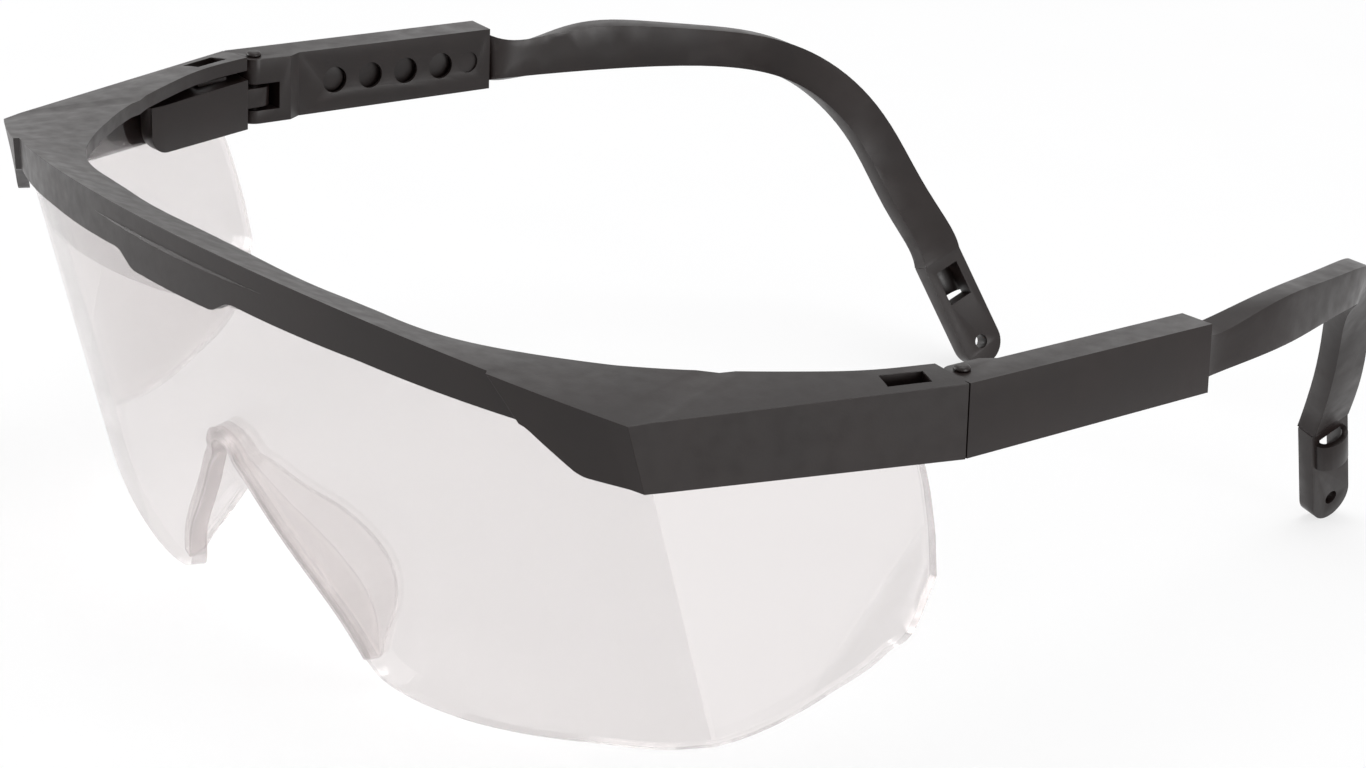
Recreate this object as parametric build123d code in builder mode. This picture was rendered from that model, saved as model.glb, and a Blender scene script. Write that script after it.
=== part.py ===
"""Safety glasses with a one-piece wrap-round lens, a brow frame and two telescopic folding temples.

Millimetres. +Z up, -Y is the way the wearer looks, +X is the wearer's left. The glasses stand on the
lens's lower edge and the two temple tips, and z = 0 is that surface.
Plan sketches have their own y = 0 at the front corners of the frame (see level()).
"""
import os
from math import asin, cos, radians, sin, sqrt

from build123d import *

# ---- front: overall shape -------------------------------------------------------------------
corner_y = -62.5  # y of the front corners; the bounding box is centred on the origin
corner_x = 71.0  # half width over the front corners
front_bow = 18.3  # how far the middle of the brow stands ahead of the corners
frame_bottom = 40.1  # underside of the side arms
brow_top = 55.1  # top of the brow in the middle
brow_arch_radius = 380.0
arm_splay = 15.0  # degrees each side arm opens outward
arm_end_y = 40.2  # rear end of the side arms, behind the corners
arm_width = 6.4  # side arm, outer face to inner face
arm_top = 49.7
flange_wall = 1.6  # front flange of the brow
arm_wall = 1.1  # outer wall of the side arm
shelf_wall = 2.0  # shelf and top of the side arms

# ---- lens -----------------------------------------------------------------------------------
lens_wall = 2.0
lens_setback = 2.0  # lens face behind the brow's face, at lens_datum_z
lens_datum_z = 47.4
lens_lean = 0.297  # rearward travel per millimetre of drop
crease_x = 70.3  # half width of the lens over its two creases
shield_splay_top = 0.268  # outward travel of the side shields per millimetre of depth, at the arm
shield_splay_low = 0.137  # the same at the lens's lower edge
nose_rim_depth = 6.5  # how far the nose rim reaches behind the lens's face
nose_rim_wall = 1.5

# ---- hinge ----------------------------------------------------------------------------------
pin_inset = 4.25  # hinge pin inward of the sleeve's outer front corner
pin_setback = 2.1  # hinge pin behind the sleeve's front edge
pin_radius = 0.8
pin_head_radius = 1.05
pin_head_height = 0.6
running_clearance = 0.05
knuckle_radius = 2.1
upper_knuckle = 3.5  # height of the sleeve's upper knuckle
middle_knuckle = 2.7  # height of the block's knuckle
knuckle_gap = 0.55  # air above and below the block's knuckle
block_length = 18.0
block_corner = 3.0

# ---- temple sleeve --------------------------------------------------------------------------
hinge_gap = 0.2  # between the side arm's end and the sleeve
sleeve_x = 81.75  # outer front corner of the sleeve
sleeve_yaw = 4.15  # degrees each sleeve turns inward
sleeve_length = 39.2
sleeve_width = 5.03
sleeve_front_height = 9.14
sleeve_rear_height = 8.62
sleeve_top = 49.7
knuckle_length = 7.1  # the thick front end of the sleeve
knuckle_blend = 1.8  # length of the slope down to the box
outer_wall = 0.9
inner_wall = 1.1
detent_count = 4
detent_pitch = 5.58
detent_radius = 1.83
first_detent = 14.55  # first hole behind the sleeve's front edge
detent_drop = 4.65  # hole centres below the sleeve's top
dimple_at = 35.7
dimple_radius = 1.5
dimple_depth = 0.4
groove_depth = 0.6  # runway for the button in the inner wall
channel_front = 9.0

# ---- temple arm -----------------------------------------------------------------------------
tongue_height = 6.8
tongue_front = 10.6
sliding_clearance = 0.12
button_radius = 1.65
button_height = 0.45
finger_length = 12.0
finger_slot = 0.5
finger_margin = 0.65  # from the button to the slots beside it
ear_thickness = 3.2
tab_thickness = 2.6
tab_width = 6.6
cord_hole_radius = 1.0
loop_height = 2.0
loop_length = 4.4
loop_wall = 0.8
loop_at = 4.2  # middle of the cord loop, down from the top of the tab
pocket_length = 5.2  # opening under the cord loop, longer than the loop itself

# ---- derived --------------------------------------------------------------------------------
front_radius = (corner_x**2 + front_bow**2) / (2 * front_bow)
arm_direction = (sin(radians(arm_splay)), cos(radians(arm_splay)))
arm_run = arm_end_y / arm_direction[1]
arm_end_x = corner_x + arm_run * arm_direction[0]
arm_depth_x = arm_width / arm_direction[1]  # the arm's width measured along X
sleeve_front_y = arm_end_y + hinge_gap
pin_x = sleeve_x - pin_inset
pin_y = sleeve_front_y + pin_setback
middle_top = sleeve_top - upper_knuckle - knuckle_gap
middle_bottom = middle_top - middle_knuckle
channel_width = sleeve_width - outer_wall - inner_wall
tongue_width = channel_width - 2 * sliding_clearance
channel_centre_t = outer_wall + channel_width / 2
rail_z = sleeve_top - detent_drop  # height of the row of holes
big = 60.0  # longer than any cut needs


def level(z):
    """Horizontal sketch plane at height z whose y runs back from the front corners."""
    return Plane((0, corner_y, z))


front_view = Plane((0, corner_y, 0), x_dir=(1, 0, 0), z_dir=(0, -1, 0))
side_view = Plane((0, corner_y, 0), x_dir=(0, 1, 0), z_dir=(1, 0, 0))


def half_mirror(points):
    """The points of one side, from the middle outward, and then of both sides in one run."""
    return [(-x, y) for x, y in reversed(points)] + [(x, y) for x, y in points if x > 0]


# ---- brow frame -----------------------------------------------------------------------------
def brow_plan(inset_front, inset_side):
    """Plan of the brow and both arms, drawn in from its front and outer faces."""
    x_corner = corner_x - inset_side / arm_direction[1] + inset_front * arm_direction[0]
    x_end = x_corner + (arm_end_y - inset_front) * arm_direction[0] / arm_direction[1]
    bow = -front_bow + inset_front
    with BuildSketch(level(frame_bottom - 5), mode=Mode.PRIVATE) as plan:
        with BuildLine():
            ThreePointArc((-x_corner, inset_front), (0, bow), (x_corner, inset_front))
            Line((x_corner, inset_front), (x_end, arm_end_y))
            Line((x_end, arm_end_y), (-x_end, arm_end_y))
            Line((-x_end, arm_end_y), (-x_corner, inset_front))
        make_face()
    return plan.sketch


def shelf_opening():
    """Plan of the wearer's side of the shelf: flat in the middle, curving into the arms."""
    x_rear = arm_end_x - arm_depth_x
    right = [(23, -8.2), (45, -2.5), (60, 10.8), (70, 25.5)]
    x_in = x_rear - 2.0
    with BuildSketch(level(frame_bottom - 5), mode=Mode.PRIVATE) as plan:
        with BuildLine():
            Spline(*half_mirror([(0, -9.3)] + right + [(x_in, 33.0)]))
            Line((x_in, 33.0), (x_rear, arm_end_y))
            Line((x_rear, arm_end_y), (x_rear, arm_end_y + 5))
            Line((x_rear, arm_end_y + 5), (-x_rear, arm_end_y + 5))
            Line((-x_rear, arm_end_y + 5), (-x_rear, arm_end_y))
            Line((-x_rear, arm_end_y), (-x_in, 33.0))
        make_face()
    return plan.sketch


def under_arch(drop, low_edge):
    """Front view of what lies under the brow's top, lowered by drop, and above low_edge."""
    shoulder_x = 62.0
    shoulder_z = brow_top - shoulder_x**2 / (2 * brow_arch_radius) - drop
    corner_z = arm_top - 0.9 - drop
    with BuildSketch(front_view, mode=Mode.PRIVATE) as view:
        with BuildLine():
            ThreePointArc((-shoulder_x, shoulder_z), (0, brow_top - drop), (shoulder_x, shoulder_z))
            Line((shoulder_x, shoulder_z), (corner_x, corner_z))
            Line((corner_x, corner_z), (arm_end_x + 1, arm_top - drop))
            Polyline((arm_end_x + 1, arm_top - drop), *low_edge, (-arm_end_x - 1, arm_top - drop))
            Line((-arm_end_x - 1, arm_top - drop), (-corner_x, corner_z))
            Line((-corner_x, corner_z), (-shoulder_x, shoulder_z))
        make_face()
    return view.sketch


flange_edge = [(8.7, 47.4), (13, 49.2), (35.4, 48.0), (57.8, 45.9), (64.6, 40.8), (corner_x, frame_bottom)]
brow_low_edge = [(arm_end_x + 1, frame_bottom)] + flange_edge[::-1]
brow_low_edge = brow_low_edge + [(-x, z) for x, z in brow_low_edge[::-1]]
flat_low_edge = [(arm_end_x + 1, frame_bottom - 4), (-arm_end_x - 1, frame_bottom - 4)]

with BuildPart() as brow_cavity:
    extrude(brow_plan(flange_wall, arm_wall), amount=30)
    extrude(under_arch(shelf_wall, flat_low_edge), amount=-big - 10, both=True, mode=Mode.INTERSECT)

window_length = 5.5
window_width = 2.9
window_y = 34.5
window_inset = 3.1  # from the arm's outer face to the middle of the window

with BuildPart() as brow_frame:
    extrude(brow_plan(0, 0), amount=30)
    extrude(under_arch(0, brow_low_edge), amount=-big - 10, both=True, mode=Mode.INTERSECT)
    extrude(shelf_opening(), amount=30, mode=Mode.SUBTRACT)
    add(brow_cavity.part, mode=Mode.SUBTRACT)
    with BuildSketch(level(arm_top + 2)):
        for side in (1, -1):
            window_x = corner_x + window_y * arm_direction[0] / arm_direction[1] - window_inset
            with Locations(Location((side * window_x, window_y, 0), (0, 0, -side * arm_splay))):
                Rectangle(window_width, window_length)
    extrude(amount=-shelf_wall - 2.5, mode=Mode.SUBTRACT)


# ---- lens -----------------------------------------------------------------------------------
def lens_crease(z):
    """Outer crease point of the lens at height z, and the outward slope of its side shield."""
    y = lens_setback + lens_lean * (lens_datum_z - z)
    share = (lens_datum_z - z) / lens_datum_z
    slope = shield_splay_top + (shield_splay_low - shield_splay_top) * share
    return crease_x, y, slope


def lens_section(z, depth):
    """Plan of the lens at height z: the bowed front and both shields, depth thick."""
    x, y, slope = lens_crease(z)
    middle = y - lens_bow
    turn = asin(x / front_radius)
    side_length = sqrt(1 + slope**2)
    n_front = (-sin(turn), cos(turn))
    n_side = (-1 / side_length, slope / side_length)
    spread = depth / (1 + n_front[0] * n_side[0] + n_front[1] * n_side[1])
    xi = x + spread * (n_front[0] + n_side[0])
    yi = y + spread * (n_front[1] + n_side[1])
    y_end = arm_end_y + 4
    x_end = x + slope * (y_end - y)
    xi_end = xi + slope * (y_end - yi)
    with BuildSketch(level(z), mode=Mode.PRIVATE) as section:
        with BuildLine():
            Line((-x_end, y_end), (-x, y))
            ThreePointArc((-x, y), (0, middle), (x, y))
            Line((x, y), (x_end, y_end))
            Line((x_end, y_end), (xi_end, y_end))
            Line((xi_end, y_end), (xi, yi))
            ThreePointArc((xi, yi), (0, middle + depth), (-xi, yi))
            Line((-xi, yi), (-xi_end, y_end))
            Line((-xi_end, y_end), (-x_end, y_end))
        make_face()
    return section.sketch


lens_bow = front_radius - sqrt(front_radius**2 - crease_x**2)


def lens_shell(depth):
    """The lens's bent sheet, depth thick, from below its lower edge to above the brow."""
    return loft([lens_section(-2, depth).face(), lens_section(brow_top + 1, depth).face()], ruled=True)


notch_edge = [(2.2, 25.0), (7.5, 18.6), (13.2, 12.7), (17.4, 8.2), (20.5, 3.2)]  # one side, downward
notch_apex_z = 27.4
notch_slope = 1.3  # a wall's width measured along X, on the notch's slanting edge


def notch_outline(grow):
    """Front view of the nose notch, an inverted V with a round top, widened by grow."""
    edge = [(x + grow * notch_slope, z) for x, z in notch_edge]
    left = [(-x, z) for x, z in edge]
    foot = (edge[-1][0], -4)
    with BuildSketch(front_view, mode=Mode.PRIVATE) as view:
        with BuildLine():
            ThreePointArc(left[0], (0, notch_apex_z + grow), edge[0])
            Polyline(*edge, foot, (-foot[0], -4), *left[::-1])
        make_face()
    return view.sketch


lower_edge = [(20.9, 2.9), (25.6, 0.7), (34, 0.2), (43.9, 1.0), (54.9, 2.8), (64.7, 4.6), (crease_x + 0.1, 6.5)]
shield_edge = [(14.2, 6.5), (22, 7.9), (28.9, 10.9), (35.9, 15.2), (39.6, 19.5), (40.8, 24), (39.8, 30.2), (37, 39.5)]

with BuildPart() as lower_waste:
    with BuildSketch(front_view):
        for side in (1, -1):
            with BuildLine():
                Spline(*[(side * x, z) for x, z in lower_edge])
                first = (side * lower_edge[0][0], lower_edge[0][1])
                last = (side * lower_edge[-1][0], lower_edge[-1][1])
                Polyline(last, (last[0], -4), (first[0], -4), first)
            make_face()
    extrude(amount=-30, both=True)

with BuildPart() as shield_waste:
    with BuildSketch(side_view):
        with BuildLine():
            Spline(*shield_edge)
            end = shield_edge[-1]
            start = shield_edge[0]
            Polyline(end, (end[0] - 1.5, brow_top + 3), (big, brow_top + 3), (big, -4), (start[0], -4), start)
        make_face()
    extrude(amount=corner_x + 20, both=True)

with BuildPart() as nose_rim:
    add(lens_shell(nose_rim_depth))
    extrude(notch_outline(nose_rim_wall), amount=40, both=True, mode=Mode.INTERSECT)

with BuildPart() as lens:
    add(lens_shell(lens_wall))
    add(nose_rim.part)
    extrude(notch_outline(0), amount=40, both=True, mode=Mode.SUBTRACT)
    add(lower_waste.part, mode=Mode.SUBTRACT)
    add(shield_waste.part, mode=Mode.SUBTRACT)
    with BuildSketch(level(-4)):
        Rectangle(4 * corner_x, 4 * corner_x)
    extrude(amount=4, mode=Mode.SUBTRACT)
    extrude(under_arch(shelf_wall, [(arm_end_x + 1, -1), (-arm_end_x - 1, -1)]), amount=-big, both=True,
            mode=Mode.INTERSECT)
    add(brow_frame.part, mode=Mode.SUBTRACT)


# ---- hinge blocks ---------------------------------------------------------------------------
def arm_point(y, inset):
    """Plan point of the left side arm at depth y, inset from its outer face."""
    return corner_x + y * arm_direction[0] / arm_direction[1] - inset / arm_direction[1], y


block_front_y = arm_end_y - block_length

with BuildPart() as hinge_block_left:
    with BuildSketch(level(frame_bottom)):
        with BuildLine():
            Polyline(
                arm_point(block_front_y, arm_wall + 0.3),
                arm_point(block_front_y, arm_width),
                arm_point(arm_end_y, arm_width),
                arm_point(arm_end_y, arm_wall),
                close=True,
            )
        make_face()
    extrude(amount=arm_top - shelf_wall - frame_bottom)
    front_bottom = hinge_block_left.edges().group_by(Axis.Y)[0].sort_by(Axis.Z)[0]
    fillet(front_bottom, radius=block_corner)
    with BuildSketch(level(middle_bottom)):
        with Locations((pin_x, pin_y)):
            Circle(knuckle_radius)
        with Locations((pin_x, pin_y - (pin_setback + hinge_gap + 1) / 2)):
            Rectangle(2 * knuckle_radius, pin_setback + hinge_gap + 1)
    extrude(amount=middle_knuckle)
    with BuildSketch(level(middle_bottom)):
        with Locations((pin_x, pin_y)):
            Circle(pin_radius + running_clearance)
    extrude(amount=middle_knuckle, mode=Mode.SUBTRACT)
    add(lens.part, mode=Mode.SUBTRACT)
    add(brow_frame.part, mode=Mode.SUBTRACT)

# ---- hinge pins -----------------------------------------------------------------------------
pin_bottom = sleeve_top - sleeve_front_height + 0.1

with BuildPart() as hinge_pin_left:
    with BuildSketch(level(pin_bottom)):
        with Locations((pin_x, pin_y)):
            Circle(pin_radius)
    extrude(amount=sleeve_top + running_clearance - pin_bottom)
    with BuildSketch(level(sleeve_top + running_clearance)):
        with Locations((pin_x, pin_y)):
            Circle(pin_head_radius)
    extrude(amount=pin_head_height)
    fillet(hinge_pin_left.edges().group_by(Axis.Z)[-1], radius=pin_head_height * 0.8)

# ---- temple sleeves -------------------------------------------------------------------------
sleeve_along = (-sin(radians(sleeve_yaw)), cos(radians(sleeve_yaw)), 0)
sleeve_outward = (cos(radians(sleeve_yaw)), sin(radians(sleeve_yaw)), 0)
sleeve_origin = (sleeve_x, corner_y + sleeve_front_y)
pin_s = pin_inset * sin(radians(sleeve_yaw)) + pin_setback * cos(radians(sleeve_yaw))
pin_t = pin_inset * cos(radians(sleeve_yaw)) - pin_setback * sin(radians(sleeve_yaw))


def sleeve_point(s, t, z):
    """Point s back from the sleeve's front edge and t inward of its outer face."""
    x = sleeve_origin[0] + s * sleeve_along[0] - t * sleeve_outward[0]
    y = sleeve_origin[1] + s * sleeve_along[1] - t * sleeve_outward[1]
    return x, y, z


def sleeve_side(t):
    """Side view plane of the sleeve, t inward of its outer face: x runs back, y is height."""
    return Plane(sleeve_point(0, t, 0), x_dir=sleeve_along, z_dir=sleeve_outward)


def sleeve_plan(z):
    """Plan plane of the sleeve at height z: x runs back along it, y outward from its outer face."""
    return Plane(sleeve_point(0, 0, z), x_dir=sleeve_along, z_dir=(0, 0, -1))


knuckle_width = pin_t + knuckle_radius
front_skew = pin_t * sin(radians(sleeve_yaw))
end_drop = (sleeve_front_height - sleeve_rear_height) / 2
sleeve_bottom = sleeve_top - sleeve_front_height

with BuildPart() as temple_sleeve_left:
    with BuildSketch(sleeve_plan(sleeve_top + 1)):
        with BuildLine():
            Line((sleeve_length, 0), (0, 0))
            Line((0, 0), (front_skew, -pin_t))
            Line((front_skew, -pin_t), (pin_s - knuckle_radius, -pin_t))
            ThreePointArc(
                (pin_s - knuckle_radius, -pin_t),
                (pin_s - knuckle_radius * sin(radians(45)), -pin_t - knuckle_radius * sin(radians(45))),
                (pin_s, -knuckle_width),
            )
            Line((pin_s, -knuckle_width), (knuckle_length, -knuckle_width))
            Line((knuckle_length, -knuckle_width), (knuckle_length + knuckle_blend, -sleeve_width))
            Line((knuckle_length + knuckle_blend, -sleeve_width), (sleeve_length, -sleeve_width))
            Line((sleeve_length, -sleeve_width), (sleeve_length, 0))
        make_face()
    extrude(amount=sleeve_front_height + 2)
    with BuildSketch(sleeve_side(-1)):
        with BuildLine():
            Polyline(
                (0, sleeve_top),
                (sleeve_length, sleeve_top - end_drop),
                (sleeve_length, sleeve_bottom + end_drop),
                (0, sleeve_bottom),
                close=True,
            )
        make_face()
    extrude(amount=-knuckle_width - 3, mode=Mode.INTERSECT)
    with BuildSketch(sleeve_side(outer_wall + channel_width / 2)):
        with Locations(((channel_front + sleeve_length + 1) / 2, rail_z)):
            Rectangle(sleeve_length + 1 - channel_front, tongue_height + 2 * sliding_clearance)
    extrude(amount=channel_width / 2, both=True, mode=Mode.SUBTRACT)
    with BuildSketch(sleeve_side(outer_wall + channel_width)):
        with Locations(((channel_front + sleeve_length + 1) / 2, rail_z)):
            Rectangle(sleeve_length + 1 - channel_front, 2 * button_radius + 2 * finger_slot)
    extrude(amount=-groove_depth, mode=Mode.SUBTRACT)
    with BuildSketch(sleeve_side(sleeve_width + 1)):
        for hole in range(detent_count):
            with Locations((first_detent + hole * detent_pitch, rail_z)):
                Circle(detent_radius)
    extrude(amount=inner_wall + 1.2, mode=Mode.SUBTRACT)
    with BuildSketch(sleeve_side(sleeve_width + 1)):
        with Locations((dimple_at, rail_z)):
            Circle(dimple_radius)
    extrude(amount=1 + dimple_depth, mode=Mode.SUBTRACT)
    with BuildSketch(level(middle_bottom - knuckle_gap)):
        with Locations((pin_x, pin_y)):
            Circle(knuckle_radius + 0.7)
        with Locations((pin_x - 2, pin_y - 2)):
            Rectangle(2 * knuckle_radius + 5.4, 4)
        with Locations((pin_x - 3.5, pin_y)):
            Rectangle(7, 2 * knuckle_radius + 1.4)
    extrude(amount=middle_knuckle + 2 * knuckle_gap, mode=Mode.SUBTRACT)
    with BuildSketch(level(sleeve_bottom - 1)):
        with Locations((pin_x, pin_y)):
            Circle(pin_radius + running_clearance)
    extrude(amount=sleeve_front_height + 2, mode=Mode.SUBTRACT)

# ---- temple arms ----------------------------------------------------------------------------
# Stations of the ear piece: the middle of the strip (x, y behind the corners, z) and its width.
ear_stations = [
    (72.2, 94.6, 45.3, 6.3),
    (68.4, 105.0, 45.1, 5.7),
    (65.2, 112.0, 44.6, 5.2),
    (61.4, 118.4, 43.5, 5.0),
    (57.5, 122.6, 41.5, 5.0),
    (54.0, 125.6, 38.6, 5.2),
    (51.1, 128.2, 34.7, 5.4),
    (48.6, 130.4, 29.8, 5.6),
    (45.2, 132.8, 23.2, 5.9),
    (40.9, 135.0, 15.9, 6.3),
]
tab_foot = (37.0, 139.9, 3.55)  # middle of the tab's rounded end


def place(point):
    """A station's plan point in the model's own frame."""
    return Vector(point[0], corner_y + point[1], point[2])


def strip_plane(centre, tangent):
    """Section plane of the strip: x is its thickness, outward, and y its width, upward."""
    tangent = tangent.normalized()
    outward = Vector(1, 0, 0) - tangent * tangent.X
    return Plane(centre, x_dir=outward, z_dir=tangent)


exit_centre = Vector(*sleeve_point(sleeve_length + 0.2, channel_centre_t, rail_z))
ear_centres = [exit_centre] + [place(station) for station in ear_stations]
ear_widths = [tongue_height] + [station[3] for station in ear_stations]
tab_direction = (place(tab_foot) - ear_centres[-1]).normalized()
ear_tangents = [Vector(*sleeve_along)]
for before, after in zip(ear_centres[:-2], ear_centres[2:]):
    ear_tangents.append((after - before).normalized())
ear_tangents.append(tab_direction)
tab_plane = Plane(
    ear_centres[-1],
    x_dir=tab_direction,
    z_dir=strip_plane(ear_centres[-1], tab_direction).x_dir,
)
tab_length = (place(tab_foot) - ear_centres[-1]).length
loop_origin = ear_centres[-1] + tab_direction * loop_at + tab_plane.z_dir * (tab_thickness / 2)
loop_plane = Plane(loop_origin, x_dir=tab_plane.y_dir, z_dir=tab_direction)

with BuildPart() as temple_arm_left:
    for number, (centre, tangent, width) in enumerate(zip(ear_centres, ear_tangents, ear_widths)):
        with BuildSketch(strip_plane(centre, tangent)):
            Rectangle(tongue_width if number == 0 else ear_thickness, width)
    loft()
    with BuildSketch(tab_plane):
        with Locations((tab_length / 2, 0)):
            Rectangle(tab_length, tab_width)
        with Locations((tab_length, 0)):
            Circle(tab_width / 2)
    extrude(amount=tab_thickness / 2, both=True)
    with BuildSketch(loop_plane):
        Ellipse(tab_width / 2 - 0.6, loop_height)
    extrude(amount=loop_length / 2, both=True)
    with BuildSketch(loop_plane):
        Ellipse(tab_width / 2 - 0.6 - loop_wall, loop_height - loop_wall)
        with Locations((0, -tab_thickness)):
            Rectangle(tab_width - 1.2 - 2 * loop_wall, 2 * tab_thickness)
    extrude(amount=pocket_length / 2, both=True, mode=Mode.SUBTRACT)
    with BuildSketch(tab_plane):
        with Locations((tab_length, 0)):
            Circle(cord_hole_radius)
    extrude(amount=tab_thickness, both=True, mode=Mode.SUBTRACT)
    with BuildSketch(sleeve_side(channel_centre_t)):
        with Locations(((tongue_front + sleeve_length + 0.3) / 2, rail_z)):
            Rectangle(sleeve_length + 0.3 - tongue_front, tongue_height)
    extrude(amount=tongue_width / 2, both=True)
    with BuildSketch(sleeve_side(channel_centre_t + tongue_width / 2)):
        with Locations((first_detent, rail_z)):
            Circle(button_radius)
    extrude(amount=-button_height)
    finger_width = 2 * (button_radius + finger_margin)
    finger_front = first_detent - button_radius - finger_margin
    with BuildSketch(sleeve_side(channel_centre_t)):
        with Locations((finger_front + finger_length / 2 - finger_slot / 2, rail_z)):
            Rectangle(finger_length + finger_slot, finger_width + 2 * finger_slot)
        with Locations((finger_front + finger_length / 2 + 1, rail_z)):
            Rectangle(finger_length + 2, finger_width, mode=Mode.SUBTRACT)
    extrude(amount=tongue_width, both=True, mode=Mode.SUBTRACT)


# ---- right-hand pieces, mirrored across the middle of the face ---------------------------------
with BuildPart() as hinge_block_right:
    add(mirror(hinge_block_left.part, about=Plane.YZ))

with BuildPart() as hinge_pin_right:
    add(mirror(hinge_pin_left.part, about=Plane.YZ))

with BuildPart() as temple_sleeve_right:
    add(mirror(temple_sleeve_left.part, about=Plane.YZ))

with BuildPart() as temple_arm_right:
    add(mirror(temple_arm_left.part, about=Plane.YZ))

# ---- export -----------------------------------------------------------------------------------
pieces = {
    "brow_frame": brow_frame,
    "lens": lens,
    "hinge_block_left": hinge_block_left,
    "hinge_block_right": hinge_block_right,
    "hinge_pin_left": hinge_pin_left,
    "hinge_pin_right": hinge_pin_right,
    "temple_sleeve_left": temple_sleeve_left,
    "temple_sleeve_right": temple_sleeve_right,
    "temple_arm_left": temple_arm_left,
    "temple_arm_right": temple_arm_right,
}
os.makedirs("parts", exist_ok=True)
for name, piece in pieces.items():
    piece.part.label = name
    export_step(piece.part, f"parts/{name}.step")
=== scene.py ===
from math import asin, cos, radians, sin, sqrt

import bmesh
import bpy
import numpy as np
from mathutils import Matrix, Vector


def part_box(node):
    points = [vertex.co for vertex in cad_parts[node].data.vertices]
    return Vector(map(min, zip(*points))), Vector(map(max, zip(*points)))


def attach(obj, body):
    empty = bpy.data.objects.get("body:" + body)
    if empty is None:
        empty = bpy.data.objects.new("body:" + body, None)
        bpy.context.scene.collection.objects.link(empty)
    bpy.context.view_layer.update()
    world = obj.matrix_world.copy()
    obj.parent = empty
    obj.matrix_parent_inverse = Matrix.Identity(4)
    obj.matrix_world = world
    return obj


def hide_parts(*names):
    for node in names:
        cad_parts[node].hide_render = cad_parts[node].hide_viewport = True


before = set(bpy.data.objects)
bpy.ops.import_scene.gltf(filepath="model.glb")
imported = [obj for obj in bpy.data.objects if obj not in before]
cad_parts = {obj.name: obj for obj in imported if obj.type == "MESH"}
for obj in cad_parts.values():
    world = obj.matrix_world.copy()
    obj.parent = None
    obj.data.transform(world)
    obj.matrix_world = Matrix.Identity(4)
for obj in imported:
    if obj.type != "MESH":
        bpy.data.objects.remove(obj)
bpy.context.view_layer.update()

MM = 0.001

# ---- places read from the frame (millimetres) ----------------------------------------------------
brow_low = np.array(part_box("brow_frame")[0]) / MM


# ---- small helpers -------------------------------------------------------------------------------
def linear(hex_colour):
    """sRGB hex to linear RGBA."""
    parts = [int(hex_colour[i:i + 2], 16) / 255 for i in (1, 3, 5)]
    return [c / 12.92 if c <= 0.04045 else ((c + 0.055) / 1.055) ** 2.4 for c in parts] + [1.0]


def add_node(tree, kind, settings=None, **inputs):
    """One shader node; an input is given by name, with _ for a space, or by number as i0, i1 and so on."""
    node = tree.nodes.new(kind)
    for key, value in (settings or {}).items():
        setattr(node, key, value)
    for key, value in inputs.items():
        by_number = key[0] == "i" and key[1:].isdigit()
        socket = node.inputs[int(key[1:]) if by_number else key.replace("_", " ")]
        if isinstance(value, bpy.types.NodeSocket):
            tree.links.new(value, socket)
        else:
            socket.default_value = value
    return node


def new_material(name):
    """An empty node material with its output node."""
    material = bpy.data.materials.new(name)
    material.use_nodes = True
    material.node_tree.nodes.clear()
    output = material.node_tree.nodes.new("ShaderNodeOutputMaterial")
    return material, material.node_tree, output


def object_coordinates(tree):
    return add_node(tree, "ShaderNodeTexCoord").outputs["Object"]


# ---- materials -----------------------------------------------------------------------------------
CLOUD_SIZE = 9 * MM  # slow change of tone where the melt flowed
GRAIN_SIZE = 0.35 * MM  # mould grain, drawn coarser than the real one so that it shows
SCUFF_SIZE = 2.2 * MM
NYLON_SPECULAR = 0.3
RIPPLE_SIZE = 14 * MM
SEE_THROUGH_SHARE = 0.4  # part of the light that crosses the lens unbent, as through a thin wall


def moulded_nylon(name, base, worn, roughness):
    """Injection-moulded black nylon: fine spark-eroded grain, soft flow clouding, slightly brown black."""
    material, tree, output = new_material(name)
    place = object_coordinates(tree)
    clouds = add_node(tree, "ShaderNodeTexNoise", Vector=place, Scale=1 / CLOUD_SIZE, Detail=3.0)
    grain = add_node(tree, "ShaderNodeTexNoise", Vector=place, Scale=1 / GRAIN_SIZE, Detail=2.0)
    scuffs = add_node(tree, "ShaderNodeTexNoise", Vector=place, Scale=1 / SCUFF_SIZE, Detail=4.0)
    tone = add_node(tree, "ShaderNodeMixRGB", Fac=clouds.outputs["Fac"],
                    Color1=linear(base), Color2=linear(worn))
    rough = add_node(tree, "ShaderNodeMapRange", i0=scuffs.outputs["Fac"], i1=0.3, i2=0.7,
                     i3=roughness - 0.05, i4=roughness + 0.06)
    bump = add_node(tree, "ShaderNodeBump", Strength=0.18, Distance=0.03 * MM, Height=grain.outputs["Fac"])
    shader = add_node(tree, "ShaderNodeBsdfPrincipled", Base_Color=tone.outputs["Color"],
                      Roughness=rough.outputs["Result"], IOR=1.53, Normal=bump.outputs["Normal"])
    shader.inputs["Specular IOR Level"].default_value = NYLON_SPECULAR
    tree.links.new(shader.outputs["BSDF"], output.inputs["Surface"])
    return material


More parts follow.
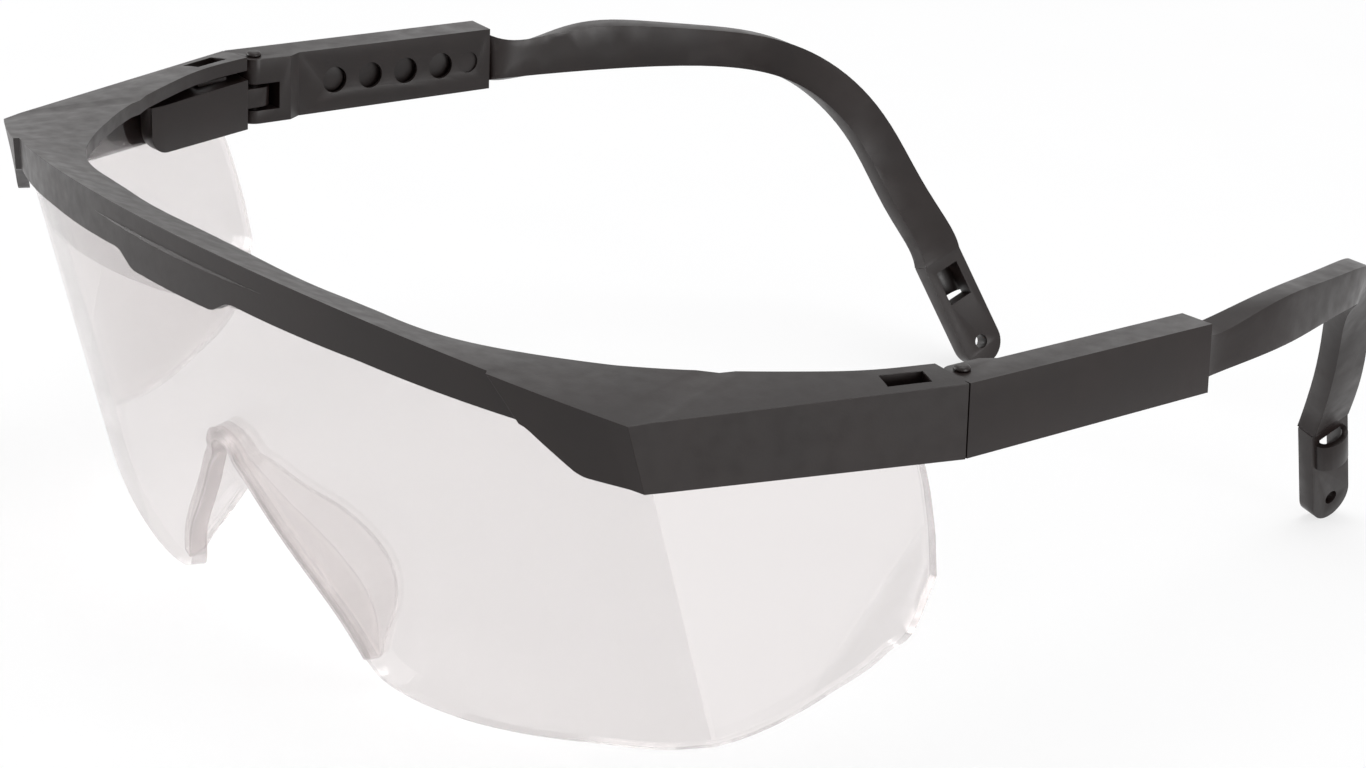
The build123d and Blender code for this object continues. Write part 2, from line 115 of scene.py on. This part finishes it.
def clear_polycarbonate(name):
    """Polished clear polycarbonate with a hard coat: faint grey body, barely visible flow ripple."""
    material, tree, output = new_material(name)
    place = object_coordinates(tree)
    ripple = add_node(tree, "ShaderNodeTexNoise", Vector=place, Scale=1 / RIPPLE_SIZE, Detail=1.0)
    bump = add_node(tree, "ShaderNodeBump", Strength=0.05, Distance=0.05 * MM, Height=ripple.outputs["Fac"])
    haze = add_node(tree, "ShaderNodeMapRange", i0=ripple.outputs["Fac"], i1=0.3, i2=0.7, i3=0.0, i4=0.02)
    shader = add_node(tree, "ShaderNodeBsdfPrincipled", Base_Color=linear("#f6f3f2"),
                      Roughness=haze.outputs["Result"], IOR=1.585, Normal=bump.outputs["Normal"])
    shader.inputs["Transmission Weight"].default_value = 1.0
    see_through = add_node(tree, "ShaderNodeBsdfTransparent", Color=linear("#efecec"))
    path = add_node(tree, "ShaderNodeLightPath")
    thin = add_node(tree, "ShaderNodeMixShader", i0=SEE_THROUGH_SHARE,
                    i1=shader.outputs["BSDF"], i2=see_through.outputs["BSDF"])
    mixed = add_node(tree, "ShaderNodeMixShader", i0=path.outputs["Is Shadow Ray"],
                     i1=thin.outputs["Shader"], i2=see_through.outputs["BSDF"])
    tree.links.new(mixed.outputs["Shader"], output.inputs["Surface"])
    return material


nylon = moulded_nylon("moulded_black_nylon", "#120c0b", "#1d1412", 0.38)
polycarbonate = clear_polycarbonate("clear_polycarbonate")


# ---- pieces from the CAD solids ------------------------------------------------------------------
WELD = 0.002  # points nearer than this are one (mm)
EDGE_STEPS = 3  # faces across a rounded edge
EDGE_ANGLE = 28  # edges sharper than this are rounded (degrees)


def softened(node, piece_name, body, material, radius, join_angle=1.0):
    """A copy of a CAD node with faces within join_angle (degrees) joined and edges rounded by radius (mm)."""
    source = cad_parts[node]
    mesh = source.data.copy()
    form = bmesh.new()
    form.from_mesh(mesh)
    bmesh.ops.remove_doubles(form, verts=form.verts, dist=WELD * MM)
    bmesh.ops.dissolve_limit(form, angle_limit=radians(join_angle), verts=form.verts, edges=form.edges)
    form.to_mesh(mesh)
    form.free()
    piece = bpy.data.objects.new(piece_name, mesh)
    bpy.context.scene.collection.objects.link(piece)
    mesh.materials.clear()
    mesh.materials.append(material)
    for polygon in mesh.polygons:
        polygon.use_smooth = True
    bevel = piece.modifiers.new("edges", "BEVEL")
    bevel.width = radius * MM
    bevel.segments = EDGE_STEPS
    bevel.limit_method = "ANGLE"
    bevel.angle_limit = radians(EDGE_ANGLE)
    bevel.use_clamp_overlap = True
    bevel.harden_normals = True
    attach(piece, body)
    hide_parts(node)
    return piece


for side in ("left", "right"):
    softened(f"temple_sleeve_{side}", f"{side}_sleeve_shell", f"{side}_sleeve", nylon, 0.35)
    softened(f"temple_arm_{side}", f"{side}_ear_piece", f"{side}_arm", nylon, 0.4,
             join_angle=0.05)
    softened(f"hinge_block_{side}", f"{side}_hinge_block", "front", nylon, 0.35)
    softened(f"hinge_pin_{side}", f"{side}_hinge_pin", "front", nylon, 0.1)


# ---- shapes shared by the front pieces (millimetres, y counted back from the front corners) --------
FRONT_BOW = 18.3
CORNER_X = 71.0
ARM_SLOPE = 0.268
ARM_END_Y = 40.2
BROW_TOP = 55.1
BROW_ARCH_RADIUS = 380.0
SHELL_WELD = 0.004
corner_y = brow_low[1] + FRONT_BOW
front_radius = (CORNER_X**2 + FRONT_BOW**2) / (2 * FRONT_BOW)


def bow(x):
    """Depth of the front's plan arc at x: a circle through the middle and both corners."""
    return front_radius - FRONT_BOW - np.sqrt(front_radius**2 - np.asarray(x, float) ** 2)


def smooth(keys, t):
    """Smooth curve through (t, value...) keys: cubic Hermite spans with finite-difference slopes."""
    keys = np.asarray(keys, float)
    knots, values = keys[:, 0], keys[:, 1:]
    slopes = np.gradient(values, knots, axis=0)
    t = np.clip(np.asarray(t, float), knots[0], knots[-1])
    span = np.clip(np.searchsorted(knots, t, side="right") - 1, 0, len(knots) - 2)
    width = knots[span + 1] - knots[span]
    u = ((t - knots[span]) / width)[..., None]
    width = width[..., None]
    result = ((2 * u**3 - 3 * u**2 + 1) * values[span] + (u**3 - 2 * u**2 + u) * width * slopes[span]
              + (-2 * u**3 + 3 * u**2) * values[span + 1] + (u**3 - u**2) * width * slopes[span + 1])
    return result[..., 0] if result.shape[-1] == 1 else result


def round_edges(piece, width, sharp):
    """Rounds the edges sharper than sharp (degrees) across width (mm)."""
    edges = piece.modifiers.new("edges", "BEVEL")
    edges.width = width * MM
    edges.segments = EDGE_STEPS
    edges.limit_method = "ANGLE"
    edges.angle_limit = radians(sharp)
    edges.harden_normals = True


def shell_object(name, points, faces, material, body, sharp=35, bevel=0.0, replaces=()):
    """A piece from points in mm (y from the front corners) and faces, with rounded edges."""
    points = np.asarray(points, float).reshape(-1, 3) + np.array([0, corner_y, 0])
    mesh = bpy.data.meshes.new(name)
    mesh.from_pydata((points * MM).tolist(), [], [tuple(int(i) for i in face) for face in faces])
    form = bmesh.new()
    form.from_mesh(mesh)
    bmesh.ops.remove_doubles(form, verts=form.verts, dist=SHELL_WELD * MM)
    bmesh.ops.dissolve_degenerate(form, edges=form.edges, dist=SHELL_WELD * MM)
    bmesh.ops.recalc_face_normals(form, faces=form.faces)
    form.to_mesh(mesh)
    form.free()
    mesh.polygons.foreach_set("use_smooth", [True] * len(mesh.polygons))
    mesh.set_sharp_from_angle(angle=radians(sharp))
    mesh.materials.append(material)
    piece = bpy.data.objects.new(name, mesh)
    bpy.context.scene.collection.objects.link(piece)
    if bevel:
        round_edges(piece, bevel, sharp)
    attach(piece, body)
    if replaces:
        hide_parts(*replaces)
    return piece


def ring_faces(rings, points, start=0, caps=True):
    """Quads between successive closed rings, with an end cap on the first and the last."""
    ring = np.arange(rings - 1)[:, None] * points
    point = np.arange(points)[None, :]
    after = (point + 1) % points
    quads = np.stack([ring + point, ring + after, ring + points + after, ring + points + point], -1)
    faces = [tuple(face) for face in (quads.reshape(-1, 4) + start)]
    if caps:
        faces.append(tuple(range(start, start + points))[::-1])
        faces.append(tuple(range(start + (rings - 1) * points, start + rings * points)))
    return faces


# ---- lens ----------------------------------------------------------------------------------------
LENS_WALL = 2.0
LENS_SETBACK = 2.0
LENS_DATUM_Z = 47.4
LENS_LEAN = 0.297
CREASE_X = 70.3
SHIELD_SLOPE_TOP = 0.268
SHIELD_SLOPE_LOW = 0.137
SHIELD_REAR_Y = 40.8
lens_bow = front_radius - sqrt(front_radius**2 - CREASE_X**2)


def lens_front(x, z, depth=0.0):
    """Front panel: a circular arc in plan that moves back as it goes down, depth behind its face."""
    base = LENS_SETBACK + LENS_LEAN * (LENS_DATUM_Z - z) - lens_bow + front_radius
    return base - np.sqrt((front_radius - depth) ** 2 - x**2)


def lens_corner(z, depth):
    """Plan point where the front panel meets the side shield, depth inside the outer faces."""
    y = LENS_SETBACK + LENS_LEAN * (LENS_DATUM_Z - z)
    slope = SHIELD_SLOPE_TOP + (SHIELD_SLOPE_LOW - SHIELD_SLOPE_TOP) * (LENS_DATUM_Z - z) / LENS_DATUM_Z
    turn = asin(CREASE_X / front_radius)
    run = np.sqrt(1 + slope**2)
    spread = depth / (1 + sin(turn) / run + cos(turn) * slope / run)
    x = CREASE_X + spread * (-sin(turn) - 1 / run)
    return x, y + spread * (cos(turn) + slope / run), slope


def brow_arch(x):
    """Height of the brow's top edge: a wide circular arch."""
    return BROW_TOP - np.asarray(x, float) ** 2 / (2 * BROW_ARCH_RADIUS)


# one side of the notch, then the long lower edge, as (x, z)
NOTCH = [(2.2, 25.0), (4.6, 22.1), (7.5, 18.6), (10.3, 15.6), (13.2, 12.7), (15.4, 10.5), (17.4, 8.2),
         (19.2, 5.6), (20.5, 3.4)]
NOTCH_TOP = 27.2
LOWER_EDGE = [(20.5, 3.4), (21.6, 2.2), (23.4, 1.2), (25.6, 0.7), (34, 0.2), (43.9, 1.0), (54.9, 2.8),
              (64.7, 4.6), (70.3, 6.4)]
# the side shield's two edges, as (share of the way back from the crease, z)
SHIELD_LOW = [(0, 6.4), (0.08, 6.6), (0.306, 7.9), (0.574, 10.9), (0.832, 15.2), (0.961, 19.5), (1.0, 24.4)]
SHIELD_HIGH = [(0, 46.6), (0.6, 46.4), (0.84, 45.6), (0.896, 39.5), (0.924, 36.5), (0.970, 30.2), (1.0, 24.6)]
LENS_TOP_GAP = 2.4  # the lens ends this far under the brow's top edge
LENS_SIDE_TOP = 46.9  # and at most this high under the end-pieces
END_COVER_X = 62
LENS_ROWS = 26


def lens_low(x):
    """Lower edge of the front panel: the round-topped notch, its slanting side, then the long edge."""
    x = np.asarray(x, float)
    dome = NOTCH[0][1] + (NOTCH_TOP - NOTCH[0][1]) * np.sqrt(np.clip(1 - (x / NOTCH[0][0]) ** 2, 0, 1))
    side = smooth(NOTCH, x)
    edge = smooth(LOWER_EDGE, x)
    return np.where(x < NOTCH[0][0], dome, np.where(x < NOTCH[-1][0], side, edge))


def lens_half_grid(depth, rows):
    """Points (columns, rows, 3) of half of the lens's skin, from the middle to the rear edge.

    Columns are closest at the notch, on both sides of the crease and at the rear edge. Each one runs
    straight from the lower edge to the upper one.
    """
    x = np.concatenate([NOTCH[0][0] * np.sin(np.linspace(0, np.pi / 2, 10)), np.linspace(2.6, 20.4, 30),
                        np.linspace(20.8, 26, 12), np.linspace(27, 68.8, 44), [69.4, 69.9, CREASE_X]])
    low = lens_low(x)
    high = brow_arch(x) - LENS_TOP_GAP
    high = np.where(x > END_COVER_X, np.minimum(high, LENS_SIDE_TOP), high)
    t = np.linspace(0, 1, rows)
    z = low[:, None] + (high - low)[:, None] * t
    corner_x = lens_corner(z, depth)[0]
    across = x[:, None] * corner_x / CREASE_X
    front = np.stack([across, lens_front(across, z, depth), z], -1)
    v = np.concatenate([[0.016, 0.04], np.sin(np.linspace(0, np.pi / 2, 34))[2:]])
    low = smooth(SHIELD_LOW, v)
    high = np.maximum(np.interp(v, [k[0] for k in SHIELD_HIGH], [k[1] for k in SHIELD_HIGH]), low)
    z = low[:, None] + (high - low)[:, None] * t
    start_x, start_y, slope = lens_corner(z, depth)
    y = start_y + v[:, None] * (SHIELD_REAR_Y - start_y)
    side = np.stack([start_x + slope * (y - start_y), y, z], -1)
    return np.concatenate([front, side])


def grid_faces(columns, rows, start, turned):
    """Quads of a grid whose first point has the number start, turned round where turned is true."""
    column = np.arange(columns - 1)[:, None] * rows
    row = np.arange(rows - 1)[None, :]
    quads = np.stack([column + row, column + rows + row, column + rows + row + 1, column + row + 1], -1)
    quads = quads.reshape(-1, 4) + start
    return [tuple(q[::-1]) if turned else tuple(q) for q in quads]


def make_lens():
    """Outer and inner skins of both halves, joined by walls along the whole outline."""
    rows = LENS_ROWS
    skins = []
    for depth in (0.0, LENS_WALL):
        half = lens_half_grid(depth, rows)
        mirrored = (half * np.array([-1, 1, 1]))[::-1][:-1]
        skins.append(np.concatenate([mirrored, half]))
    columns = len(skins[0])
    points = np.concatenate([skin.reshape(-1, 3) for skin in skins])
    offset = columns * rows
    faces = grid_faces(columns, rows, 0, False) + grid_faces(columns, rows, offset, True)
    for row in (0, rows - 1):
        for column in range(columns - 1):
            first, second = column * rows + row, (column + 1) * rows + row
            faces.append((first, second, second + offset, first + offset))
    for column in (0, columns - 1):
        for row in range(rows - 1):
            first = column * rows + row
            faces.append((first, first + 1, first + 1 + offset, first + offset))
    return shell_object("wrap_lens", points, faces, polycarbonate, "front", sharp=60,
                        bevel=0.25, replaces=("lens",))


make_lens()

# depth of the nose rim against the distance run down the notch from its top
RIM_DEPTH = [(0, 3.2), (4, 4.2), (9, 6.2), (14, 8.6), (19, 9.6), (23, 9.2), (27, 7.0), (30.5, 3.4), (33, 1.6)]
RIM_WALL = 1.3
RIM_OVERLAP = 0.15  # how far the rim laps past the notch's edge
RIM_SETBACK = 0.35  # it starts this far in front of the lens's face
RIM_SPLAY_X = 0.42 * 0.5
RIM_SPLAY_Z = 0.42 * 0.3
RIM_RISE = 0.2
RIM_SECTIONS = 60


def make_nose_rim():
    """A flange carried round the notch: it reaches back and outward, deepest at the two nose pads."""
    side = np.array([(0.0, NOTCH_TOP), (1.2, 26.7), (1.95, 25.8)] + NOTCH)
    run = np.concatenate([[0], np.cumsum(np.linalg.norm(np.diff(side, axis=0), axis=1))])
    s = np.linspace(0, run[-1], RIM_SECTIONS)
    path = smooth(np.column_stack([run, side]), s)
    tangent = np.gradient(path, s, axis=0)
    tangent /= np.linalg.norm(tangent, axis=1)[:, None]
    away = np.column_stack([-tangent[:, 1], tangent[:, 0]])
    away[0] = (0, 1)
    depth = smooth(RIM_DEPTH, s)
    section = [(-RIM_OVERLAP, 0.0), (-RIM_OVERLAP, 0.5), (0.1, 1.0),
               (RIM_WALL, 1.0), (RIM_WALL, 0.5), (RIM_WALL + 0.3, 0.0)]
    rings = []
    for inward, back_share in section:
        reach = depth * back_share
        x = path[:, 0] + away[:, 0] * (inward + RIM_SPLAY_X * reach)
        z = path[:, 1] + away[:, 1] * (inward + RIM_SPLAY_Z * reach) + RIM_RISE * reach
        y = lens_front(np.abs(path[:, 0]), path[:, 1]) - RIM_SETBACK * (back_share == 0) + reach
        rings.append(np.stack([x, y, z], -1))
    half = np.stack(rings, 1)
    whole = np.concatenate([(half * np.array([-1, 1, 1]))[::-1][:-1], half])
    faces = ring_faces(len(whole), whole.shape[1])
    shell_object("nose_rim", whole.reshape(-1, 3), faces, polycarbonate, "front",
                 sharp=40, bevel=0.3)


make_nose_rim()

# ---- brow frame ----------------------------------------------------------------------------------
# the shelf's inner edge, as (station along it, x, y), and the flange's lower edge, as (x, z)
SHELF_EDGE = [(0, 0, -9.3), (23, 23, -8.2), (45, 45, -2.5), (60, 60, 10.8), (74, 70, 25.5), (84, 73.6, 33.0),
              (92, 75.4, 40.2)]
FLANGE_LOW = [(0, 47.4), (8.7, 47.4), (9.6, 47.6), (12.2, 49.0), (13.4, 49.2), (35.4, 48.0), (45.7, 47.0),
              (57.6, 45.9), (58.6, 45.5), (63.8, 41.2), (64.8, 40.75), (72, 40.1)]
END_PIECE_X = 54.0
END_PIECE_STEP = 0.8
FLANGE_WALL = 1.6
ARM_WALL = 1.2
ARM_FOOT_Z = (40.1, 40.5)  # at the corner and at the rear end
ARM_TOP_Z = (48.6, 49.7)
ARM_SHELF_Z = 50.3
FOOT_SWEEP = 1.8  # the arm's foot starts this far behind its top edge
SHELF_RIM = 1.9  # thickness of the shelf at its inner edge
RIM_LIP = 0.9
BROW_EDGE = 0.45
BROW_SHARP = 24


def brow_half():
    """Section rings from the middle out to the corner and back along the side arm.

    Each ring runs: flange foot, outer top edge, middle of the shelf, its inner edge, under that edge,
    its lip, the inner corner and the back of the flange's foot.
    """
    x = np.concatenate([np.linspace(0, 8, 9), np.linspace(8.7, 13.6, 12), np.linspace(15, 53, 34),
                        [53.7, 54.3], np.linspace(55, 68.6, 24), [CORNER_X]])
    recess = np.where(x < END_PIECE_X, END_PIECE_STEP, 0.0)
    foot_x = x + np.interp(x, [44, 54, 60, 71], [0, 3.5, 3.0, 0.6])
    foot_z = np.interp(foot_x, [k[0] for k in FLANGE_LOW], [k[1] for k in FLANGE_LOW])
    top_z = brow_arch(x)
    lean = 0.06 + 0.22 * (x / CORNER_X) ** 3
    share = x / CORNER_X
    station = np.interp(share, [0, 0.35, 0.66, 0.86, 1.0], [0, 23, 45, 58, 66])
    inner = smooth(SHELF_EDGE, station)
    inner_z = np.interp(x, [0, 33, 60, 71], [52.4, 51.9, 50.4, 50.3])
    inner_z = np.minimum(inner_z, top_z + 1.6)
    theta = np.arcsin(x / front_radius)
    normal = np.column_stack([-np.sin(theta), np.cos(theta)])
    normal[-1] = np.array([-0.855, 0.673]) * 1.06
    wall = np.interp(x, [0, 60, CORNER_X], [FLANGE_WALL, FLANGE_WALL, ARM_WALL])
    foot_y = bow(np.minimum(foot_x, CORNER_X)) + recess + lean * (top_z - foot_z)
    front = stack_rings(np.column_stack([foot_x, foot_y]), np.column_stack([x, bow(x) + recess]),
                        inner, normal, wall, foot_z, top_z, inner_z)
    front[-1, 0, :2] = (CORNER_X + 0.6, 2.2)
    y = np.concatenate([np.linspace(2.8, 38.5, 26), [ARM_END_Y]])
    station = np.interp(y, [0, 12, 25, 33, ARM_END_Y], [66, 72, 78, 84, 92])
    inner = smooth(SHELF_EDGE, station)
    outer = np.column_stack([CORNER_X + ARM_SLOPE * y, y])
    foot_y = y + FOOT_SWEEP * (1 - y / ARM_END_Y)
    foot = np.column_stack([CORNER_X + ARM_SLOPE * foot_y, foot_y])
    normal = np.tile([-0.966, 0.259], (len(y), 1))
    normal[-1] = (-1.035, 0)
    arm_foot = np.interp(y, [0, ARM_END_Y], ARM_FOOT_Z)
    arm_top = np.interp(y, [0, ARM_END_Y], ARM_TOP_Z)
    arm = stack_rings(foot, outer, inner, normal, np.full(len(y), ARM_WALL), arm_foot, arm_top,
                      np.full(len(y), ARM_SHELF_Z))
    return np.concatenate([front, arm])


def stack_rings(foot, outer, inner, normal, wall, foot_z, top_z, inner_z):
    """Rings of eight points from plan points of the foot, the outer top edge and the shelf's edge."""
    toward = (outer - inner) / np.linalg.norm(outer - inner, axis=1)[:, None]
    back = outer + normal * wall[:, None]
    roof = np.minimum(top_z, inner_z) - SHELF_RIM
    columns = [
        np.column_stack([foot, foot_z]),
        np.column_stack([outer, top_z]),
        np.column_stack([outer * 0.55 + inner * 0.45, top_z * 0.5 + inner_z * 0.5 + 0.05]),
        np.column_stack([inner, inner_z]),
        np.column_stack([inner, inner_z - SHELF_RIM]),
        np.column_stack([inner + toward * RIM_LIP, inner_z - SHELF_RIM]),
        np.column_stack([back, roof]),
        np.column_stack([foot + normal * wall[:, None], foot_z]),
    ]
    return np.stack(columns, 1)


WINDOW_Y = 34.5
WINDOW_LENGTH = 5.5
WINDOW_WIDTH = 2.9
WINDOW_INSET = 3.1
WINDOW_Z = 49.5
WINDOW_CUT = 6
ARM_SPLAY = 15


def cut_arm_windows(piece):
    """Cuts the slot through the top of each side arm with a box turned along the arm."""
    for side in (1, -1):
        x = side * (CORNER_X + ARM_SLOPE * WINDOW_Y - WINDOW_INSET)
        middle = Vector((x, corner_y + WINDOW_Y, WINDOW_Z)) * MM
        box = bmesh.new()
        bmesh.ops.create_cube(box, size=1.0)
        bmesh.ops.scale(box, vec=(WINDOW_WIDTH * MM, WINDOW_LENGTH * MM, WINDOW_CUT * MM), verts=box.verts)
        turned = Matrix.Rotation(-side * radians(ARM_SPLAY), 3, "Z")
        bmesh.ops.rotate(box, matrix=turned, verts=box.verts)
        bmesh.ops.translate(box, vec=middle, verts=box.verts)
        tool_mesh = bpy.data.meshes.new("window_tool")
        box.to_mesh(tool_mesh)
        box.free()
        tool = bpy.data.objects.new("window_tool", tool_mesh)
        bpy.context.scene.collection.objects.link(tool)
        cut = piece.modifiers.new("window", "BOOLEAN")
        cut.operation = "DIFFERENCE"
        cut.solver = "EXACT"
        cut.object = tool
        bpy.context.view_layer.update()
        finished = piece.evaluated_get(bpy.context.evaluated_depsgraph_get())
        cut_mesh = bpy.data.meshes.new_from_object(finished)
        piece.modifiers.remove(cut)
        piece.data = cut_mesh
        bpy.data.objects.remove(tool)


def make_brow():
    """Both halves of the brow as one closed tube of rings, with its windows cut and its edges rounded."""
    half = brow_half()
    whole = np.concatenate([(half * np.array([-1, 1, 1]))[::-1][:-1], half])
    faces = ring_faces(len(whole), whole.shape[1])
    brow = shell_object("brow", whole.reshape(-1, 3), faces, nylon, "front",
                        sharp=BROW_SHARP, replaces=("brow_frame",))
    cut_arm_windows(brow)
    round_edges(brow, BROW_EDGE, BROW_SHARP)


make_brow()

# ---- floor, light and camera ---------------------------------------------------------------------
WHITE_LEVEL = 1.0
AMBIENT_LEVEL = 0.5
FLOOR_GLOW = 0.99
FLOOR_GLOW_SHARE = 0.72  # the rest of the floor is matt and keeps the shadow
FLOOR_HALF = 3.0


def looked_at(tree):
    """1 for camera, transmission and glossy rays, and 0 for the rays that light things."""
    path = add_node(tree, "ShaderNodeLightPath")
    seen = add_node(tree, "ShaderNodeMath", {"operation": "MAXIMUM"}, i0=path.outputs["Is Camera Ray"],
                    i1=path.outputs["Is Transmission Ray"])
    seen = add_node(tree, "ShaderNodeMath", {"operation": "MAXIMUM"}, i0=seen.outputs[0],
                    i1=path.outputs["Is Glossy Ray"])
    return seen.outputs[0]


world = bpy.data.worlds.new("studio")
bpy.context.scene.world = world
world.use_nodes = True
sky = world.node_tree
sky.nodes.clear()
sky_out = sky.nodes.new("ShaderNodeOutputWorld")
seen = looked_at(sky)
ambient = add_node(sky, "ShaderNodeBackground", Color=linear("#f4f4f6"), Strength=AMBIENT_LEVEL)
plain = add_node(sky, "ShaderNodeBackground", Color=(1, 1, 1, 1), Strength=WHITE_LEVEL)
both = add_node(sky, "ShaderNodeMixShader", i0=seen, i1=ambient.outputs[0], i2=plain.outputs[0])
sky.links.new(both.outputs[0], sky_out.inputs["Surface"])


def pale_floor():
    """White floor: a matt surface that keeps shadows, lifted to white for rays that only look at it."""
    material, tree, output = new_material("white_studio_board")
    place = object_coordinates(tree)
    fibres = add_node(tree, "ShaderNodeTexNoise", Vector=place, Scale=1 / (30 * MM), Detail=2.0)
    tone = add_node(tree, "ShaderNodeMixRGB", Fac=fibres.outputs["Fac"],
                    Color1=linear("#fdfdfd"), Color2=linear("#f7f7f7"))
    matt = add_node(tree, "ShaderNodeBsdfDiffuse", Color=tone.outputs["Color"])
    glow = add_node(tree, "ShaderNodeEmission", Color=(1, 1, 1, 1), Strength=FLOOR_GLOW)
    seen = looked_at(tree)
    lifted = add_node(tree, "ShaderNodeMixShader", i0=FLOOR_GLOW_SHARE,
                      i1=matt.outputs[0], i2=glow.outputs[0])
    both = add_node(tree, "ShaderNodeMixShader", i0=seen, i1=matt.outputs[0], i2=lifted.outputs[0])
    tree.links.new(both.outputs[0], output.inputs["Surface"])
    mesh = bpy.data.meshes.new("floor")
    corners = [(-FLOOR_HALF, -FLOOR_HALF, 0), (FLOOR_HALF, -FLOOR_HALF, 0),
               (FLOOR_HALF, FLOOR_HALF, 0), (-FLOOR_HALF, FLOOR_HALF, 0)]
    mesh.from_pydata(corners, [], [(0, 1, 2, 3)])
    mesh.materials.append(material)
    floor = bpy.data.objects.new("floor", mesh)
    bpy.context.scene.collection.objects.link(floor)


pale_floor()


def softbox(name, place, aim, size, power):
    """A rectangular lamp at place, turned to face aim."""
    light = bpy.data.lights.new(name, "AREA")
    light.shape = "RECTANGLE"
    light.size, light.size_y = size
    light.energy = power
    lamp = bpy.data.objects.new(name, light)
    lamp.location = place
    lamp.rotation_euler = (Vector(aim) - Vector(place)).to_track_quat("-Z", "Y").to_euler()
    bpy.context.scene.collection.objects.link(lamp)


softbox("front_left", (-0.9, -0.75, 0.25), (0, 0, 0.03), (0.5, 0.5), 9.0)
softbox("right_side", (1.1, 0.12, 0.10), (0.08, 0, 0.045), (0.45, 0.3), 7.0)
softbox("overhead", (0.1, 0.1, 1.1), (0, 0, 0.03), (0.9, 0.9), 7.0)

CAMERA_AZIMUTH = 53.48
CAMERA_ELEVATION = 18.9
CAMERA_ROLL = 1.88
CAMERA_PLACE = (0.5268, -0.3925, 0.2464)
FOCAL_LENGTH = 141.0

azimuth, elevation, roll = [radians(a) for a in (CAMERA_AZIMUTH, CAMERA_ELEVATION, CAMERA_ROLL)]
back = Vector((sin(azimuth) * cos(elevation), -cos(azimuth) * cos(elevation), sin(elevation)))
level_right = Vector((cos(azimuth), sin(azimuth), 0))
level_up = back.cross(level_right)
right = level_right * cos(roll) + level_up * sin(roll)
up = back.cross(right)
lens_data = bpy.data.cameras.new("camera")
lens_data.lens = FOCAL_LENGTH
lens_data.sensor_width = 36.0
lens_data.clip_start = 0.01
camera = bpy.data.objects.new("camera", lens_data)
turn = Matrix((right, up, back)).transposed().to_4x4()
camera.matrix_world = Matrix.Translation(CAMERA_PLACE) @ turn
bpy.context.scene.collection.objects.link(camera)
bpy.context.scene.camera = camera
bpy.context.scene.view_settings.view_transform = "Standard"

bpy.context.view_layer.update()
